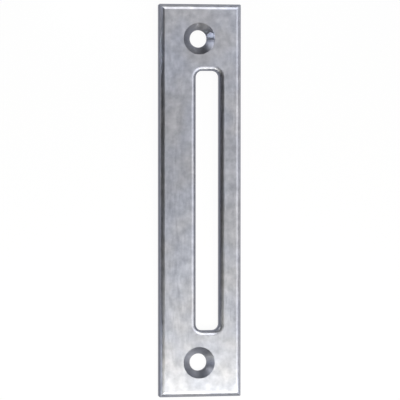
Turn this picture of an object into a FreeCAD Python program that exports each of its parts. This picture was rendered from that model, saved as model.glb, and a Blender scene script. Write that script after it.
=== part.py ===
import FreeCAD, Part

import math
import os

# Door strike plate: one flat plate of satin metal that is screwed to a door
# frame, face outward, so that the bolt of a lock shoots through its long slot.
#
# Frame, in millimetres: the plate lies on its back face. X runs across the
# plate, Y along it and Z out of the front face. The origin is the middle of
# the back face, which is the face that beds on the frame.

# Plate
plate_width = 25.4
plate_length = 120.0
plate_thickness = 3.2
outline_corner_radius = 0.6
front_edge_radius = 1.7     # rounding of the four front edges
back_edge_break = 0.2       # small bevel that takes the burr off every back edge

# Screw holes
screw_end_distance = 10.55  # from each end of the plate to a screw's centre
screw_edge_distance = 13.1  # from the screws' centre line to the right-hand long edge
screw_clearance_diameter = 5.3
countersink_diameter = 9.7
countersink_angle = 90.0    # whole angle of the cone, to suit a flat-headed wood screw

# Bolt slot
slot_width = 7.2
slot_screw_distance = 9.75  # from each end of the slot to the nearer screw's centre
slot_edge_distance = 6.8    # metal between the slot and the right-hand long edge
slot_corner_radius = 2.0
slot_mouth_radius = 1.5     # rounding that leads the bolt into the slot

# Places and lengths that follow from these sizes
screw_x = plate_width / 2 - screw_edge_distance
screw_y = plate_length / 2 - screw_end_distance
slot_x = plate_width / 2 - slot_edge_distance - slot_width / 2
slot_length = 2 * (screw_y - slot_screw_distance)

match_tolerance = 0.01      # how near an edge lies to a height or a box to count as in it


def rounded_prism(width, length, corner_radius, centre_x):
    """Upright block through the plate's thickness, its four corners rounded."""
    quarter_turn = math.pi / 2
    arcs = []
    for quarter, (side_x, side_y) in enumerate([(1, 1), (-1, 1), (-1, -1), (1, -1)]):
        x = centre_x + side_x * (width / 2 - corner_radius)
        y = side_y * (length / 2 - corner_radius)
        points = []
        for part_turned in (0, 0.5, 1):
            turn = (quarter + part_turned) * quarter_turn
            reach = FreeCAD.Vector(math.cos(turn), math.sin(turn), 0) * corner_radius
            points.append(FreeCAD.Vector(x, y, 0) + reach)
        arcs.append(points)

    edges = []
    for index, points in enumerate(arcs):
        next_points = arcs[(index + 1) % len(arcs)]
        edges.append(Part.Arc(*points).toShape())
        edges.append(Part.makeLine(points[-1], next_points[0]))
    return Part.Face(Part.Wire(edges)).extrude(FreeCAD.Vector(0, 0, plate_thickness))


def crowned_bar(across, along, half_width, half_length):
    """Bar of the plate's thickness whose two upper edges are rounded.

    Its section is drawn across the bar and then swept along it.
    """
    shoulder = half_width - front_edge_radius
    spring = plate_thickness - front_edge_radius
    rounding = front_edge_radius * math.sqrt(0.5)

    def at(reach, height):
        return across * reach + along * -half_length + FreeCAD.Vector(0, 0, height)

    right_arc = Part.Arc(
        at(half_width, spring),
        at(shoulder + rounding, spring + rounding),
        at(shoulder, plate_thickness),
    )
    left_arc = Part.Arc(
        at(-shoulder, plate_thickness),
        at(-shoulder - rounding, spring + rounding),
        at(-half_width, spring),
    )
    section = Part.Wire([
        Part.makeLine(at(-half_width, 0), at(half_width, 0)),
        Part.makeLine(at(half_width, 0), at(half_width, spring)),
        right_arc.toShape(),
        Part.makeLine(at(shoulder, plate_thickness), at(-shoulder, plate_thickness)),
        left_arc.toShape(),
        Part.makeLine(at(-half_width, spring), at(-half_width, 0)),
    ])
    return Part.Face(section).extrude(along * (2 * half_length))


def edges_at(shape, height, inside=None):
    """Edges that lie flat at one height, all of them or those inside a box."""
    found = []
    for edge in shape.Edges:
        box = edge.BoundBox
        lies_there = max(abs(box.ZMin - height), abs(box.ZMax - height)) < match_tolerance
        if lies_there and (inside is None or inside.isInside(box)):
            found.append(edge)
    return found


# Blank
def make_blank():
    """The bare plate: what its outline, its cross section and its long section share.

    The rounded front edges run straight to the corners and meet there in a mitre.
    """
    x_axis = FreeCAD.Vector(1, 0, 0)
    y_axis = FreeCAD.Vector(0, 1, 0)
    half_width = plate_width / 2
    half_length = plate_length / 2
    outline = rounded_prism(plate_width, plate_length, outline_corner_radius, 0.0)
    lengthwise = crowned_bar(x_axis, y_axis, half_width, half_length)
    crosswise = crowned_bar(y_axis, x_axis, half_length, half_width)
    blank = outline.common(lengthwise).common(crosswise)
    return blank.makeChamfer(back_edge_break, edges_at(blank, 0.0))


# Bolt slot
def cut_slot(plate):
    """The slot, with the rounding at its mouth that runs on round its corners."""
    passage = rounded_prism(slot_width, slot_length, slot_corner_radius, slot_x)
    slot_box = passage.BoundBox
    slot_box.enlarge(match_tolerance)
    plate = plate.cut(passage)
    mouth = edges_at(plate, plate_thickness, slot_box)
    plate = plate.makeFillet(slot_mouth_radius, mouth)
    return plate.makeChamfer(back_edge_break, edges_at(plate, 0.0, slot_box))


# Screw holes
def make_screw_hole(centre_y):
    """What one countersunk hole takes away: bore, cone and bevel on one axis."""
    up = FreeCAD.Vector(0, 0, 1)
    bore_radius = screw_clearance_diameter / 2
    sink_radius = countersink_diameter / 2
    sink_depth = sink_radius / math.tan(math.radians(countersink_angle / 2))
    back_centre = FreeCAD.Vector(screw_x, centre_y, 0)
    sink_tip = FreeCAD.Vector(screw_x, centre_y, plate_thickness - sink_depth)
    bevel_radius = bore_radius + back_edge_break

    bore = Part.makeCylinder(bore_radius, plate_thickness, back_centre, up)
    sink = Part.makeCone(0, sink_radius, sink_depth, sink_tip, up)
    bevel = Part.makeCone(bevel_radius, bore_radius, back_edge_break, back_centre, up)
    return bore.fuse([sink, bevel])


# Strike plate
strike_plate = cut_slot(make_blank())
for centre_y in (screw_y, -screw_y):
    strike_plate = strike_plate.cut(make_screw_hole(centre_y))

os.makedirs("parts", exist_ok=True)
strike_plate.exportStep("parts/strike_plate.step")
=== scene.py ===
import math

import bpy
from mathutils import Matrix, Vector


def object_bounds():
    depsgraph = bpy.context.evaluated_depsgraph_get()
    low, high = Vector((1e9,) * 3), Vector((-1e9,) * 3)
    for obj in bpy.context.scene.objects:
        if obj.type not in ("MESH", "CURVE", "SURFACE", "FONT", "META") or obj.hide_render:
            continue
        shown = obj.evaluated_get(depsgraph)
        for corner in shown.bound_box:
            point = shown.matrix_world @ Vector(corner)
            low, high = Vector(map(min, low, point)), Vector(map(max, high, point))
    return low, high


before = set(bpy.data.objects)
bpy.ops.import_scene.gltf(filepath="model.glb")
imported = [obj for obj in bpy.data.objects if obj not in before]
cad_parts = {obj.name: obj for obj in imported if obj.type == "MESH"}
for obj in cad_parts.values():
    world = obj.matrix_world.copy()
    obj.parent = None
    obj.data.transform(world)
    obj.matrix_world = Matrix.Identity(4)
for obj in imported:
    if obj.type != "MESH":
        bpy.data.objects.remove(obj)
cad_low, cad_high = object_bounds()

PLATE = "strike_plate"
MM = 0.001

# Colours of the metal, with painted shade on the side walls and in the countersinks; the tints
# and the countersink shade multiply what lies under them
DARK_CLOUD = (0.347, 0.356, 0.403, 1)
LIGHT_CLOUD = (0.535, 0.544, 0.595, 1)
COLD_TINT = (0.970, 0.988, 1.020, 1)
WARM_TINT = (1.022, 1.008, 0.975, 1)
# Painted shade: darkens the countersinks, where shade falls in the recess
COUNTERSINK_PAINTED_SHADE = (0.85, 0.85, 0.86, 1)
# Painted shade: a dark grey that stands in for the shade on the side walls and the steep part of
# the edge roundings
PAINTED_WALL_SHADE = (0.120, 0.130, 0.175, 1)

# Noise: scale per metre, detail and roughness, and the span of its values in use
CLOUDS = (420.0, 3.0, 0.6)              # mottling, 2 or 3 mm across
CLOUDS_SPAN = (0.28, 0.74)
PATCHES = (110.0, 1.0, 0.5)             # warmer and colder grey, about 9 mm across
PATCHES_SPAN = (0.35, 0.65)
GRAIN = (2600.0, 2.0, 0.5)              # fine grain, drawn out along the plate
GRAIN_SPAN = (0.25, 0.75)
GRAIN_STRETCH = (1.0, 0.12, 1.0)
ROUGHNESS_RANGE = (0.34, 0.44)
BUMP_STRENGTH = 0.12
BUMP_HEIGHT = 0.02 * MM

# How upright the surface's normal is where the painted shade on the side walls starts and is
# full
WALL_SPAN = (0.84, 0.30)

# Painted shade in the countersinks: one centre, since both are folded onto +Y, and the radii
# just outside
#  and just inside the rim
SCREW_PLACE = (-0.4 * MM, 49.45 * MM, 0.0)
COUNTERSINK_SPAN = (4.9 * MM, 4.6 * MM)

# Floor
FLOOR_HALF_SIDE = 4.0
FLOOR_GREY = (0.80, 0.80, 0.80, 1)
FLOOR_WHITE_SHARE = 0.95                # the rest is lit and takes the shadow
PURE_WHITE = (1, 1, 1, 1)

# Glows in the dome: turn from +X towards +Y, height and reach in degrees, strength
GLOWS = [
    (52, 47, 34, 4.14),
    (-44, 42, 39, 2.56),
    (144, 3, 24, 2.9),
    (0, 12, 20, 0.5),
]

# Lamps: name, place, aim and size in metres, watts, colour, spread in degrees
WARM = (1.0, 0.975, 0.86)
COLD = (0.82, 0.87, 1.0)
WHITE = (1.0, 1.0, 1.0)
LAMPS = [
    ("end_light", (0.0, -0.10, 0.09), (0.0, -0.06, 0.0), (0.18, 0.04), 0.1425, WARM, 180),
    ("middle_light", (0.007, -0.022, 0.04), (0.0, -0.021, 0.0), (0.03, 0.02), 0.0004, WARM, 180),
    ("near_hole", (-0.06, -0.055, 0.02), (0.0, -0.05, 0.0), (0.02, 0.015), 0.0023, COLD, 180),
    ("far_hole", (-0.06, 0.03, 0.02), (0.002, 0.05, 0.0), (0.006, 0.006), 0.00005, COLD, 14),
    ("near_left", (-0.04, -0.075, 0.02), (-0.012, -0.06, 0.0), (0.01, 0.01), 0.0031, WARM, 180),
    ("far_left", (-0.04, 0.07, 0.02), (-0.012, 0.055, 0.0), (0.01, 0.01), 0.0026, COLD, 180),
    ("near_right", (0.04, -0.075, 0.02), (0.012, -0.06, 0.0), (0.01, 0.01), 0.0053, WHITE, 180),
    ("far_right", (0.04, 0.075, 0.02), (0.012, 0.06, 0.0), (0.01, 0.01), 0.0012, WHITE, 180),
]

# The camera looks down on the plate from a little to its left.
IMAGE_SIDE = 400                        # pixels, both ways
PIXELS_PER_MM = 3.272                   # at the plate
CAMERA_DISTANCE = 680 * MM
CAMERA_YAW = math.radians(9.6)          # from straight above towards -X
CAMERA_PITCH = math.radians(1.6)        # from straight above towards +Y
CAMERA_ROLL = math.radians(0.02)
PLATE_OFF_CENTRE = (-0.25, 0.85)        # pixels right and down from the image's middle
SENSOR_WIDTH = 36.0                     # millimetres
CLIP_START = 0.01


# Small helpers for node trees
def new_material(name):
    material = bpy.data.materials.new(name)
    material.use_nodes = True
    material.node_tree.nodes.clear()
    return material


def add_node(tree, kind, **settings):
    node = tree.nodes.new(kind)
    for key, value in settings.items():
        setattr(node, key, value)
    return node


def plug(tree, source, socket):
    """Links a socket to another one, or sets it to a plain value."""
    if isinstance(source, bpy.types.NodeSocket):
        tree.links.new(source, socket)
    else:
        socket.default_value = source


def plug_all(tree, node, **sources):
    """Plugs sockets by name, with underscores for the spaces in their names."""
    for key, source in sources.items():
        plug(tree, source, node.inputs[key.replace("_", " ")])


def add_math(tree, operation, *terms, kind="ShaderNodeMath"):
    """One step of arithmetic on sockets and values, which gives a number."""
    node = add_node(tree, kind, operation=operation)
    for term, socket in zip(terms, node.inputs):
        plug(tree, term, socket)
    return node.outputs["Value"]


def add_vector_math(tree, operation, *terms):
    """The same on vectors, for steps that give a number, such as a distance."""
    return add_math(tree, operation, *terms, kind="ShaderNodeVectorMath")


def add_noise(tree, place, scale, detail, roughness):
    noise = add_node(tree, "ShaderNodeTexNoise")
    plug_all(tree, noise, Vector=place, Scale=scale, Detail=detail, Roughness=roughness)
    return noise.outputs["Fac"]


def add_range(tree, value, span, result=(0.0, 1.0), kind="SMOOTHSTEP"):
    """Turns one span of values into another."""
    node = add_node(tree, "ShaderNodeMapRange", interpolation_type=kind)
    plug_all(tree, node, Value=value, From_Min=span[0], From_Max=span[1])
    plug_all(tree, node, To_Min=result[0], To_Max=result[1])
    return node.outputs["Result"]


def add_ramp(tree, value, span, *colours):
    """Turns a span of values into colours between two."""
    node = add_node(tree, "ShaderNodeValToRGB")
    for element, position, colour in zip(node.color_ramp.elements, span, colours):
        element.position = position
        element.color = colour
    plug(tree, value, node.inputs["Fac"])
    return node.outputs["Color"]


def add_colour_mix(tree, factor, base, over, blend="MIX"):
    node = add_node(tree, "ShaderNodeMix", data_type="RGBA", blend_type=blend)
    plug_all(tree, node, Factor=factor, A=base, B=over)
    return node.outputs["Result"]


def add_shader_mix(tree, factor, *shaders):
    node = add_node(tree, "ShaderNodeMixShader")
    for source, socket in zip((factor, *shaders), node.inputs):
        plug(tree, source, socket)
    return node.outputs["Shader"]


def add_output(tree, kind, shader):
    plug_all(tree, add_node(tree, kind), Surface=shader)


# Satin metal
def wall_shade_mask(tree):
    """Mask of the painted wall shade: 0 on the flat faces, 1 on the side walls."""
    split = add_node(tree, "ShaderNodeSeparateXYZ")
    normal = add_node(tree, "ShaderNodeNewGeometry").outputs["Normal"]
    plug_all(tree, split, Vector=normal)
    upright = add_math(tree, "ABSOLUTE", split.outputs["Z"])
    return add_range(tree, upright, WALL_SPAN)


def countersink_shade_mask(tree, place):
    """Mask of the painted countersink shade: 1 in the two countersinks, 0 outside their rims."""
    split = add_node(tree, "ShaderNodeSeparateXYZ")
    plug_all(tree, split, Vector=place)
    folded = add_node(tree, "ShaderNodeCombineXYZ")
    along = add_math(tree, "ABSOLUTE", split.outputs["Y"])
    plug_all(tree, folded, X=split.outputs["X"], Y=along)
    reach = add_vector_math(tree, "DISTANCE", folded.outputs["Vector"], SCREW_PLACE)
    return add_range(tree, reach, COUNTERSINK_SPAN)


def metal_colour(tree, place):
    """Clouded steel grey with warmer and colder patches, and painted shade: dark on the side
    walls and a little darker in the countersinks."""
    clouds = add_noise(tree, place, *CLOUDS)
    grey = add_ramp(tree, clouds, CLOUDS_SPAN, DARK_CLOUD, LIGHT_CLOUD)
    patches = add_noise(tree, place, *PATCHES)
    tint = add_ramp(tree, patches, PATCHES_SPAN, COLD_TINT, WARM_TINT)
    tinted = add_colour_mix(tree, 1.0, grey, tint, "MULTIPLY")
    # Painted shade on the side walls
    shaded_walls = add_colour_mix(tree, wall_shade_mask(tree), tinted, PAINTED_WALL_SHADE)
    countersink_shade = countersink_shade_mask(tree, place)
    # Painted shade in the countersinks
    return add_colour_mix(tree, countersink_shade, shaded_walls, COUNTERSINK_PAINTED_SHADE, "MULTIPLY")


def satin_metal():
    """Satin steel, its roughness and relief from a grain that runs along the plate."""
    material = new_material("satin_metal")
    tree = material.node_tree
    place = add_node(tree, "ShaderNodeTexCoord").outputs["Object"]
    stretch = add_node(tree, "ShaderNodeMapping")
    plug_all(tree, stretch, Vector=place, Scale=GRAIN_STRETCH)
    grain = add_noise(tree, stretch.outputs["Vector"], *GRAIN)
    bump = add_node(tree, "ShaderNodeBump")
    plug_all(tree, bump, Height=grain, Strength=BUMP_STRENGTH, Distance=BUMP_HEIGHT)

    shader = add_node(tree, "ShaderNodeBsdfPrincipled")
    plug_all(
        tree,
        shader,
        Base_Color=metal_colour(tree, place),
        Metallic=1.0,
        Roughness=add_range(tree, grain, GRAIN_SPAN, ROUGHNESS_RANGE, "LINEAR"),
        Normal=bump.outputs["Normal"],
    )
    add_output(tree, "ShaderNodeOutputMaterial", shader.outputs["BSDF"])
    return material


# White floor that keeps a soft shadow
def white_when_seen(tree):
    """1 for rays that show the background, straight or in metal and glass."""
    rays = add_node(tree, "ShaderNodeLightPath").outputs
    seen = add_math(tree, "MAXIMUM", rays["Is Camera Ray"], rays["Is Glossy Ray"])
    return add_math(tree, "MAXIMUM", seen, rays["Is Transmission Ray"])


def floor_material():
    material = new_material("white_floor")
    tree = material.node_tree
    lit = add_node(tree, "ShaderNodeBsdfDiffuse")
    plug_all(tree, lit, Color=FLOOR_GREY)
    white = add_node(tree, "ShaderNodeEmission")
    plug_all(tree, white, Color=PURE_WHITE, Strength=1.0)
    share = add_math(tree, "MULTIPLY", white_when_seen(tree), FLOOR_WHITE_SHARE)
    both = add_shader_mix(tree, share, lit.outputs["BSDF"], white.outputs["Emission"])
    add_output(tree, "ShaderNodeOutputMaterial", both)
    return material


def add_floor():
    half = FLOOR_HALF_SIDE
    mesh = bpy.data.meshes.new("floor")
    corners = [(-half, -half, 0), (half, -half, 0), (half, half, 0), (-half, half, 0)]
    mesh.from_pydata(corners, [], [(0, 1, 2, 3)])
    mesh.materials.append(floor_material())
    floor = bpy.data.objects.new("floor", mesh)
    floor.location.z = cad_low.z
    bpy.context.collection.objects.link(floor)


# Light
def add_lamp(name, place, aim, size, watts, colour, spread):
    """Rectangular lamp that the camera doesn't see."""
    light = bpy.data.lights.new(name, "AREA")
    light.shape = "RECTANGLE"
    light.size, light.size_y = size
    light.energy = watts
    light.color = colour
    light.spread = math.radians(spread)
    lamp = bpy.data.objects.new(name, light)
    lamp.location = Vector(place)
    lamp.rotation_euler = (Vector(aim) - Vector(place)).to_track_quat("-Z", "Y").to_euler()
    lamp.visible_camera = False
    bpy.context.collection.objects.link(lamp)


def add_glow(tree, direction, turn, height, reach, strength):
    """One round glow, brightest in its middle."""
    turn, height = math.radians(turn), math.radians(height)
    across = math.cos(height)
    middle = (across * math.cos(turn), across * math.sin(turn), math.sin(height))
    nearness = add_vector_math(tree, "DOT_PRODUCT", direction, middle)
    edge = math.cos(math.radians(reach))
    return add_range(tree, nearness, (edge, 1.0), (0.0, strength))


def add_world():
    """Dark dome with the glows in it, white to the camera."""
    world = bpy.data.worlds.new("studio")
    bpy.context.scene.world = world
    world.use_nodes = True
    tree = world.node_tree
    tree.nodes.clear()
    direction = add_node(tree, "ShaderNodeTexCoord").outputs["Generated"]
    total = 0.0
    for glow_row in GLOWS:
        total = add_math(tree, "ADD", total, add_glow(tree, direction, *glow_row))
    dome = add_node(tree, "ShaderNodeBackground")
    plug_all(tree, dome, Color=PURE_WHITE, Strength=total)
    white = add_node(tree, "ShaderNodeBackground")
    plug_all(tree, white, Color=PURE_WHITE, Strength=1.0)
    seen = add_node(tree, "ShaderNodeLightPath").outputs["Is Camera Ray"]
    backgrounds = (dome.outputs["Background"], white.outputs["Background"])
    add_output(tree, "ShaderNodeOutputWorld", add_shader_mix(tree, seen, *backgrounds))


# Camera
def add_camera():
    back = Vector((
        -math.sin(CAMERA_YAW) * math.cos(CAMERA_PITCH),
        math.sin(CAMERA_PITCH),
        math.cos(CAMERA_YAW) * math.cos(CAMERA_PITCH),
    ))
    right = Vector((0, 1, 0)).cross(back).normalized()
    right = Matrix.Rotation(CAMERA_ROLL, 3, back) @ right
    up = back.cross(right)
    middle = (cad_low + cad_high) / 2
    off_right, off_down = PLATE_OFF_CENTRE
    aim = middle + (up * off_down - right * off_right) * MM / PIXELS_PER_MM

    lens = bpy.data.cameras.new("camera")
    lens.sensor_width = SENSOR_WIDTH
    lens.lens = SENSOR_WIDTH * PIXELS_PER_MM * CAMERA_DISTANCE / MM / IMAGE_SIDE
    lens.clip_start = CLIP_START
    camera = bpy.data.objects.new("camera", lens)
    turn = Matrix((right, up, back)).transposed().to_4x4()
    camera.matrix_world = Matrix.Translation(aim + back * CAMERA_DISTANCE) @ turn
    bpy.context.collection.objects.link(camera)
    bpy.context.scene.camera = camera


# The scene
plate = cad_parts[PLATE]
plate.material_slots[0].material = satin_metal()
add_floor()
add_world()
for lamp_row in LAMPS:
    add_lamp(*lamp_row)
add_camera()
bpy.context.scene.view_settings.view_transform = "Standard"
